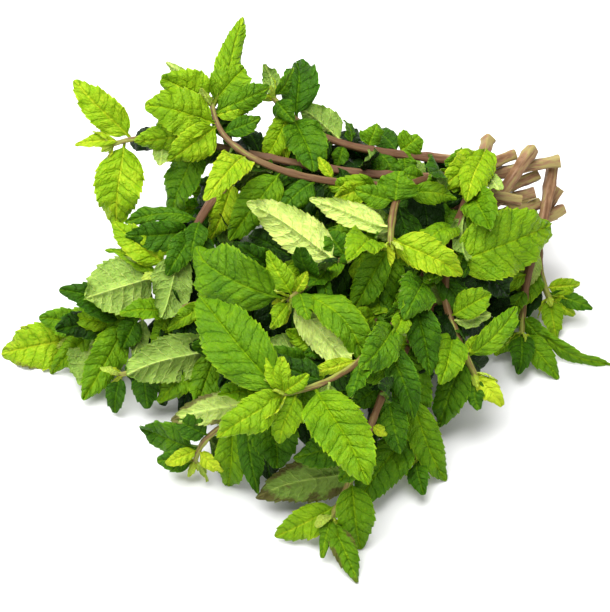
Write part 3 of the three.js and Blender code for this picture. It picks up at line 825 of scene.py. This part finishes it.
# The smaller leaves that show, by the stem that each grows on, in mm and degrees: share of the stem, reach of
# the tip from there, width and age, and for some the turn away from FACING, the arch and the roll.
SMALLER = {
    "sprig_01": [
        small(0.93, (-21, -13, -9), 16, 0.75),
        small(1.0, (-19, 16, 9), 7, 0.8, turn=180, arch=0.05),
        small(0.97, (24, 8, 8), 13, 0.45, arch=0.12, roll=0.4),
        small(0.96, (17, 5, 3), 8, 0.7),
        small(0.9, (16, 6, 4), 9, 0.35),
        small(0.42, (-23, 1, 0), 11, 0.6, roll=0.4),
        small(0.55, (-6, 8, 5), 5, 0.85),
        small(0.45, (-14, -4, -3), 11, 0.75, arch=0.12),
        small(0.7, (-22, -24, -17), 17, 0.5, arch=0.08),
        small(0.6, (-18, -16, -10), 16, 0.3, turn=10, arch=0.12, roll=0.7),
    ],
    "sprig_02": [
        small(0.98, (-19, -1, 0), 7, 0.85, turn=20, arch=0.12, roll=0.5),
        small(1.0, (-6, 3, 4), 5, 0.9),
        small(0.88, (-2, -9, -7), 9, 0.7, turn=180),
    ],
    "sprig_03": [
        small(1.0, (-3, 11, 9), 9, 0.4, turn=150, roll=0.4),
        small(1.0, (9, 8, 9), 7, 0.4, turn=40, arch=0.15, roll=0.8),
        small(0.98, (8, -9, -4), 11, 0.3, arch=0.15, roll=0.6),
        small(0.9, (-9, -9, -6), 9, 0.8, roll=0.4),
        small(0.9, (-11, -16, -12), 12, 0.7),
        small(0.88, (-4, -18, -14), 7, 0.75),
        small(0.62, (-3, 9, 6), 8, 0.35, turn=60, roll=0.4),
        small(0.65, (-3, -7, -5), 8, 0.35, roll=0.4),
        small(0.55, (4, 9, 6), 13, 0.5, arch=0.2, roll=0.8),
        small(0.45, (-12, -9, -5), 13, 0.3, arch=0.15, roll=0.9),
        small(0.5, (6, -10, -6), 11, 0.35, arch=0.15, roll=0.6),
        small(0.42, (9, 6, 4), 14, 0.5),
        small(0.4, (2, -8, -5), 11, 0.45, roll=0.4),
    ],
    "sprig_04": [
        small(0.79, (2, 10, 9), 19, 0.45, arch=0.05),
        small(0.78, (-16, 4, 3), 11, 0.5, roll=0.4),
        small(1.0, (-2, -9, -9), 9, 1.0, arch=0.15),
        small(0.5, (-9, 1, -1), 8, 0.5),
        small(0.55, (-8, -1, 3), 8, 0.5),
        small(0.68, (22, -3, -2), 10, 0.55, arch=0.15, roll=0.5),
    ],
    "sprig_05": [
        small(0.75, (-8, 8, 6), 12, 0.3),
        small(0.98, (-10, 14, 12), 10, 0.65, roll=0.4),
        small(1.0, (-8, -9, -7), 9, 0.7, arch=0.15, roll=0.8),
        small(0.97, (-2, 8, 6), 5, 0.8),
        small(0.97, (5, 7, 6), 5, 0.8),
    ],
    "sprig_06": [
        small(0.8, (-20, -5, -3), 7, 0.85, roll=0.4),
        small(1.0, (-6, 12, 9), 11, 0.76, turn=10, arch=0.15, roll=0.5),
        small(1.0, (0, 11, 10), 8, 0.74, arch=0.12, roll=0.4),
        small(1.0, (10, 6, 5), 8, 0.72, arch=0.15, roll=0.6),
        small(0.7, (11, -24, -22), 13, 0.25),
        small(1.0, (-21, -6, -5), 12, 0.7, arch=0.15, roll=0.4),
        small(1.0, (-27, -11, -13), 17, 0.68, arch=0.15, roll=0.6),
        small(0.97, (-7, -14, -15), 13, 0.65),
        small(0.45, (-3, -16, -12), 16, 0.4, turn=170),
        small(0.55, (6, -24, -20), 15, 0.25),
        small(0.66, (-15, -30, 6), 17, 0.42),
        small(0.48, (-8, -29, 7), 18, 0.36, turn=-10, roll=0.4),
        small(0.33, (-9, -34, 10), 17, 0.5),
    ],
    "sprig_07": [
        small(0.1, (-18, -25, 3), 14, 0.78),
        small(0.08, (-9, -35, 2), 16, 0.74),
        small(0.3, (-9, -2, -3), 7, 0.0, arch=0.2, roll=0.9),
        small(0.78, (17, 8, 5), 13, 0.62, arch=0.12, roll=0.4),
        small(0.8, (16, 3, 1), 9, 0.6, turn=150),
        small(0.92, (5, 6, 5), 7, 0.75),
        small(1.0, (11, -10, -8), 9, 1.0, arch=0.12),
        small(1.0, (2, -11, -9), 9, 0.3),
    ],
    "sprig_08": [
        small(0.7, (-14, -7, -7), 12, 0.25),
        small(0.82, (-30, -6, -8), 16, 0.3),
        small(0.72, (6, -18, -18), 13, 0.3),
        small(1.0, (-4, -14, -8), 9, 0.5, arch=0.15, roll=0.8),
        small(0.8, (6, -3, -2), 5, 0.9),
    ],
    "sprig_09": [
        small(1.0, (-15, 0, 1), 10, 0.3),
        small(0.93, (-13, 5, 5), 12, 0.25),
        small(0.97, (-13, -4, -4), 7, 0.92, arch=0.15, roll=0.4),
        small(0.97, (10, -7, -5), 7, 0.92, arch=0.15, roll=0.4),
        small(0.85, (6, -26, -20), 11, 0.25),
        small(0.8, (4, -20, -20), 22, 0.3),
    ],
    "sprig_10": [
        small(0.78, (-7, -12, -9), 9, 0.6),
        small(0.85, (-6, -9, -8), 12, 0.25),
        small(0.7, (-18, -10, -7), 8, 0.6),
        small(0.88, (-17, -29, -18), 17, 0.5),
        small(0.95, (12, -8, -6), 10, 0.7, arch=0.12, roll=0.5),
    ],
    "sprig_11": [
        small(0.1, (-10, -20, -15), 12, 0.8),
        small(0.9, (-23, 14, 12), 14, 0.75),
        small(1.0, (-22, 10, 6), 7, 0.6),
        small(0.5, (-31, -1, 0), 12, 0.35, turn=40, roll=0.9),
        small(0.6, (-28, -2, -1), 14, 0.25),
        small(0.75, (-19, 0, 0), 8, 0.75, arch=0.12, roll=0.4),
    ],
    "sprig_12": [
        small(0.5, (-5, -14, -12), 12, 0.7, turn=180),
        small(0.9, (9, -10, -4), 9, 0.4),
        small(1.0, (-11, -9, -4), 9, 0.5, arch=0.2, roll=0.8),
        small(1.0, (-2, -17, -6), 12, 0.2),
    ],
    "sprig_13": [
        small(0.9, (15, 2, 0), 8, 0.8),
        small(1.0, (14, 0, 0), 7, 0.7),
        small(0.95, (19, -6, -4), 8, 0.3),
        small(1.0, (10, -6, -5), 8, 0.8),
        small(1.0, (3, -16, -8), 10, 0.65),
    ],
    "sprig_14": [
        small(1.0, (-2, -11, -11), 9, 0.2),
        small(0.85, (-14, -14, -12), 14, 0.55, arch=0.12, roll=0.5),
        small(0.95, (2, -14, -9), 12, 0.2),
    ],
    "sprig_16": [
        small(1.0, (2, -18, -2), 10, 0.25),
    ],
}

# The leaves that fill the bunch grow in pairs along these shares of the stems.
FILLED = {
    "sprig_01": (0.3, 0.95),
    "sprig_02": (0.35, 0.9),
    "sprig_03": (0.4, 0.9),
    "sprig_04": (0.4, 0.8),
    "sprig_05": (0.25, 0.95),
    "sprig_06": (0.25, 0.95),
    "sprig_07": (0.3, 0.95),
    "sprig_08": (0.25, 0.95),
    "sprig_09": (0.3, 0.95),
    "sprig_10": (0.25, 0.95),
    "sprig_11": (0.1, 0.95),
    "sprig_12": (0.3, 0.95),
    "sprig_13": (0.5, 0.95),
    "sprig_14": (0.2, 1.0),
    "sprig_15": (0.15, 1.0),
}
FILL_STEP = 6.0

# The leaves that cover stems lie along these shares of them, on the side that leaves face.
COVERED = {
    "sprig_07": (0.1, 0.52),
    "sprig_06": (0.2, 0.98),
    "sprig_05": (0.22, 0.98),
    "sprig_09": (0.22, 0.95),
    "sprig_10": (0.22, 0.97),
    "sprig_08": (0.2, 0.98),
    "sprig_03": (0.3, 0.85),
    "sprig_04": (0.25, 0.6),
    "sprig_11": (0.45, 1.0),
    "sprig_12": (0.35, 0.95),
    "sprig_13": (0.4, 0.95),
    "sprig_14": (0.2, 1.0),
    "sprig_15": (0.3, 1.0),
}
COVER_STEP = 6.5

# A leaf is left out if it passes through more of the ones placed before it than this.
FILL_CROSSINGS = 2
COVER_CROSSINGS = 1
FILL_SEED = 20

# Nothing is put in front of these shares of the stems.
SHOWING = {
    "sprig_01": (0.3, 1.0),
    "sprig_02": (0.45, 1.0),
    "sprig_04": (0.7, 1.0),
    "sprig_07": (0.58, 0.8),
    "sprig_11": (0.1, 0.4),
}

# The pairs of tiny leaves round each stem's tip: length, and lean away from the stem's line.
SHOOT_PAIRS = ((10.0, 1.0), (7.0, 0.6), (4.5, 0.3))

# A leaf is moved by these, in mm nearer to the viewer and in degrees, until it passes through no other.
NEARER = (0, 3, 6, -3, 10, -6, 14, -10)
TURNS = (0, 14, -14, 28, -28)

ROOT_DEPTH = 0.7  # where a stalk starts, as a share of its stem's radius
OVERHANG = 3.0  # how far out of the CAD model's box a filling leaf may reach


def upper_side(reach, turn):
    """The direction square to the reach that is nearest to FACING, turned by turn degrees."""
    along = unit(reach)
    return rotated(square_to(reach, FACING), along, math.radians(turn))


def square_to(reach, direction):
    """The direction, with its part along the reach taken away."""
    along = unit(reach)
    return unit(direction - along * direction.dot(along))


def coarse(leaf):
    """The blade without its stalk, as a coarse surface in mm that tests are quick on."""
    t = np.linspace(0.2, 1.0, 8)[:, None]
    across = unit(np.cross(leaf.reach, leaf.up))
    spine = leaf.base + leaf.reach * t + leaf.up * 4 * leaf.arch * leaf.length * t * (1 - t)
    half = leaf.width / 2 * outline((t - STALK_SHARE) / (1 - STALK_SHARE)) * 0.92
    sides = np.array([-1, -0.5, 0, 0.5, 1])[None, :, None]
    points = spine[:, None] + across * half[:, None] * sides
    return points, grid_faces(*points.shape[:2])


def tree_of(leaf):
    points, faces = coarse(leaf)
    return BVHTree.FromPolygons(points.reshape(-1, 3).tolist(), faces.tolist())


def crossings(tree, placed):
    return sum(len(tree.overlap(other)) for other in placed)


def settled(leaf, placed):
    """The leaf, moved a little aside if it crosses the ones placed, and how often it still crosses them."""
    best = None
    for nearer in NEARER:
        for turn in TURNS:
            tip = leaf.base + leaf.reach + FACING * nearer
            tip[2] = max(tip[2], 1.0)
            reach = tip - leaf.base
            up = square_to(reach, rotated(leaf.up, unit(leaf.reach), math.radians(turn)))
            tried = replace(leaf, reach=reach, up=up)
            count = crossings(tree_of(tried), placed)
            if best is None or count < best[1]:
                best = (tried, count)
            if count == 0:
                return best
    return best


def hides(tree, watched):
    """True if the leaf hides any of the watched points from the side that leaves face."""
    towards = Vector(FACING)
    return any(tree.ray_cast(point, towards)[0] is not None for point in watched)


def outside(leaf):
    """True if the leaf reaches out of the CAD model's box by more than OVERHANG."""
    low, high = (np.array(corner) * METRE for corner in cad_box)
    points = coarse(leaf)[0].reshape(-1, 3)
    return bool(((points < low - OVERHANG) | (points > high + OVERHANG)).any())


def rooted(leaf, stem):
    """The CAD leaf with its stalk drawn on to its stem's skin, and its tip where it was."""
    shares = np.linspace(0, 1, 200)
    line = np.array([stem.at(share) for share in shares])
    apart = np.linalg.norm(line - leaf.base, axis=1)
    nearest = apart.argmin()
    depth = stem.radius(shares[nearest]) * ROOT_DEPTH
    base = line[nearest] + (leaf.base - line[nearest]) * depth / apart[nearest]
    return replace(leaf, base=base, reach=leaf.base + leaf.reach - base)


def on_stem(stem, share, reach, facing=0.6):
    """Where a leaf leaves its stem: towards its reach, and towards the side that leaves face."""
    tangent = stem.tangent(share)
    across = unit(reach) - tangent * unit(reach).dot(tangent)
    seen = FACING - tangent * FACING.dot(tangent)
    return stem.at(share) + unit(across + seen * facing) * stem.radius(share) * ROOT_DEPTH


# ---- Pairs of leaves that fill the bunch ----


def inner_leaf(rng, stem, share, half, turn):
    """One of a pair that stands out from its stem anywhere round it, and hangs."""
    tangent = stem.tangent(share)
    aside = unit(np.cross(tangent, UP))
    out = rotated(aside, tangent, turn + half * math.pi)
    hang = stem.at(share)[2] / 60
    reach = out + tangent * rng.uniform(0.2, 0.8) - UP * rng.uniform(0.2, 0.9) * hang
    reach = unit(reach) * rng.uniform(18, 34)
    up = UP * rng.uniform(0.2, 1) + FACING * rng.uniform(0.0, 1) + rng.uniform(-0.5, 0.5, 3)
    # The third value, the age, is set very low: these inner leaves are painted dark as shade in the gaps of
    # the bunch.
    return reach, up, rng.uniform(-0.15, 0.2), 0.5


def covering_leaf(rng, stem, share, half, turn):
    """One of a pair that lies over its stem, towards the side that leaves face."""
    tangent = stem.tangent(share)
    across = unit(np.cross(tangent, FACING)) * (1 - 2 * half)
    lean = rng.uniform(0.15, 0.9) if math.sin(turn * 9) > 0 else rng.uniform(0.0, 0.25)
    reach = across * lean + tangent * rng.uniform(0.3, 0.9) + FACING * rng.uniform(0.0, 0.45)
    reach = unit(reach) * rng.uniform(16, 30)
    up = FACING + rng.uniform(-0.45, 0.45, 3)
    if rng.uniform() < 0.1:
        up = -up
    return reach, up, rng.uniform(0.25, 0.66), 2.0


def drawn_leaf(kind, rng, stem, share, half, turn):
    """A leaf of the kind given by inner_leaf or covering_leaf, on its stem and clear of the floor."""
    reach, up, age_and_shade, facing = kind(rng, stem, share, half, turn)
    base = on_stem(stem, share, reach, facing)
    reach[2] = max(reach[2], 1.5 - base[2])
    up = square_to(reach, up)
    width = np.linalg.norm(reach) * rng.uniform(0.45, 0.62)
    arch = rng.uniform(0.04, 0.16)
    roll = rng.uniform(0.2, 0.6)
    return Leaf(base, reach, up, width, arch, age_and_shade, roll, seed=int(rng.integers(1000, 9000)))


def pairs_along(kind, ranges, step, most_crossings, placed, watched, rng):
    """Pairs of leaves along the stems, where nothing is in their way, as {stem: leaves}."""
    grown = {}
    for name, (first, last) in ranges.items():
        stem = stems[name]
        grown[name] = []
        pairs = int(stem.length * (last - first) / step)
        for pair in range(pairs):
            share = first + (last - first) * (pair + 0.5) / pairs
            turn = rng.uniform(0, math.pi) + pair * math.pi / 2
            for half in (0, 1):
                leaf, count = settled(drawn_leaf(kind, rng, stem, share, half, turn), placed)
                tree = tree_of(leaf)
                if count > most_crossings or hides(tree, watched) or outside(leaf):
                    continue
                grown[name].append(leaf)
                placed.append(tree)
    return grown


def shoot(stem, seed):
    """The tiny leaves at a stem's tip, in pairs that are each turned square to the last."""
    tangent = stem.tangent(1.0)
    aside = unit(np.cross(tangent, UP))
    leaves = []
    for pair, (length, lean) in enumerate(SHOOT_PAIRS):
        for half in (0, math.pi):
            out = rotated(aside, tangent, pair * math.pi / 2 + half + seed)
            reach = unit(tangent + out * lean) * length
            base = stem.at(1.0) + out * stem.radius(1.0) * 0.4 - tangent * 0.8
            up = square_to(reach, tangent)
            age_and_shade = 0.98 + 0.01 * pair
            leaves.append(Leaf(base, reach, up, length * 0.5, -0.1, age_and_shade, 0.3, seed=seed * 9 + pair))
    return leaves


# ---- The bunch ----


def grow_cad_leaves(material):
    shown = []
    for number, (node, leaf) in enumerate(cad_leaves.items()):
        sprig, letter = node.split("_leaf_")
        age_and_shade, roll = GROWTH[sprig][letter]
        leaf = rooted(leaf, stems[sprig])
        leaf = replace(leaf, seed=number + 1, age_and_shade=age_and_shade, roll=roll, brown=DRIED.get(node, 0.0))
        made = grow(f"{node}.look", [leaf], material)
        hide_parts(node)
        shown.append(leaf)
    return shown


def grow_smaller_leaves(material, shown, placed):
    for name, rows in SMALLER.items():
        for number, (share, reach, width, age_and_shade, turn, arch, roll) in enumerate(rows):
            reach = np.array(reach, dtype=float)
            base = on_stem(stems[name], share, reach)
            up = upper_side(reach, turn)
            seed = SMALLER_SEED + len(shown)
            leaf, _ = settled(Leaf(base, reach, up, width, arch, age_and_shade, roll, seed=seed), placed)
            made = grow(f"{name}_smaller_{number + 1}", [leaf], material, fine=0.8)
            placed.append(tree_of(leaf))
            shown.append(leaf)


def on_floor(point):
    """Where the surface shows, seen past the point from the side that leaves face."""
    return Vector(point - FACING * point[2] / FACING[2])


def watched_points(shown):
    """Points just in front of everything that has to show, and on the surface where that has to show."""
    points = [Vector(p) for leaf in shown for p in coarse(leaf)[0][1:-1, 1:-1].reshape(-1, 3) + FACING]
    for name, (first, last) in SHOWING.items():
        for share in np.linspace(first, last, 30):
            points.append(Vector(stems[name].at(share) + FACING * 2 * stems[name].radius(share)))
    # The surface shows between two of the leaves of the left-hand crown.
    left, right = cad_leaves["sprig_02_leaf_b"], cad_leaves["sprig_02_leaf_c"]
    for share in np.linspace(0.45, 0.95, 6):
        for across in (0.35, 0.5, 0.65):
            left_point = left.base + left.reach * share
            right_point = right.base + right.reach * share
            points.append(on_floor(left_point * (1 - across) + right_point * across))
    # It shows beyond the stem at the right-hand edge too.
    for share in np.linspace(0.2, 0.75, 8):
        for aside in (6, 10, 14, 18):
            points.append(on_floor(stems["sprig_13"].at(share) + np.array([aside, 0.0, 0.0])))
    return points


def grow_filling(material, placed, watched):
    rng = np.random.default_rng(FILL_SEED)
    covering = pairs_along(covering_leaf, COVERED, COVER_STEP, COVER_CROSSINGS, placed, watched, rng)
    inner = pairs_along(inner_leaf, FILLED, FILL_STEP, FILL_CROSSINGS, placed, watched, rng)
    for kind, grown, fine in (("covering", covering, 0.7), ("inner", inner, 0.5)):
        for name, leaves in grown.items():
            if leaves:
                made = grow(f"{name}_{kind}_leaves", leaves, material, fine)


def grow_shoots(material):
    for number, (name, stem) in enumerate(stems.items()):
        made = grow(f"{name}_shoot", shoot(stem, number + 1), material, fine=0.5)


def mint_bunch():
    leaf_look = leaf_material()
    stem_look = stem_material()
    for number, stem in enumerate(stems.values()):
        stem_object(stem, stem_look, number)
    shown = grow_cad_leaves(leaf_look)
    placed = [tree_of(leaf) for leaf in shown]
    grow_smaller_leaves(leaf_look, shown, placed)
    grow_filling(leaf_look, placed, watched_points(shown))
    grow_shoots(leaf_look)


# ---- Floor, light and camera, in metres ----

FLOOR_REACH = 3.0
CAMERA_ELEVATION = 45.0
CAMERA_DISTANCE = 1.6
SEEN_WIDTH = 0.2596  # of the picture, at the bunch
SENSOR = 36.0  # mm
TARGET_HEIGHT = 0.4  # where the camera looks, as a share of the bunch's height


def pale_floor():
    mesh = bpy.data.meshes.new("floor")
    edge = FLOOR_REACH
    corners = [(-edge, -edge, 0), (edge, -edge, 0), (edge, edge, 0), (-edge, edge, 0)]
    mesh.from_pydata(corners, [], [(0, 1, 2, 3)])
    floor = bpy.data.objects.new("floor", mesh)
    bpy.context.scene.collection.objects.link(floor)
    tree = Tree("white_sweep")
    tree.shader.inputs["Base Color"].default_value = (0.9, 0.9, 0.9, 1)
    tree.shader.inputs["Roughness"].default_value = 0.7
    mesh.materials.append(tree.material)


def soft_light(name, place, size, power):
    """A round soft lamp that shines at the bunch."""
    light = bpy.data.lights.new(name, "AREA")
    light.shape = "DISK"
    light.size = size
    light.energy = power
    lamp = bpy.data.objects.new(name, light)
    lamp.location = place
    lamp.rotation_euler = (-Vector(place)).to_track_quat("-Z", "Y").to_euler()
    bpy.context.scene.collection.objects.link(lamp)


def pale_world(strength):
    world = bpy.data.worlds.new("studio")
    world.use_nodes = True
    background = world.node_tree.nodes["Background"]
    background.inputs["Color"].default_value = (1, 1, 1, 1)
    background.inputs["Strength"].default_value = strength
    bpy.context.scene.world = world


def view_from_above():
    low, high = (Vector(corner) for corner in cad_box)
    target = (low + high) / 2
    target.z = low.z + TARGET_HEIGHT * (high.z - low.z)
    elevation = math.radians(CAMERA_ELEVATION)
    camera = bpy.data.cameras.new("camera")
    camera.sensor_width = SENSOR
    camera.lens = SENSOR * CAMERA_DISTANCE / SEEN_WIDTH
    eye = bpy.data.objects.new("camera", camera)
    eye.location = target + CAMERA_DISTANCE * Vector((0, -math.cos(elevation), math.sin(elevation)))
    eye.rotation_euler = (target - eye.location).to_track_quat("-Z", "Y").to_euler()
    bpy.context.scene.collection.objects.link(eye)
    bpy.context.scene.camera = eye


mint_bunch()
pale_floor()
soft_light("overhead", (-0.3, 0.08, 1.3), size=1.6, power=40.5)
soft_light("front_fill", (0.2, -1.4, 0.9), size=1.0, power=6)
pale_world(strength=0.34)
bpy.context.scene.view_settings.view_transform = "Standard"
view_from_above()
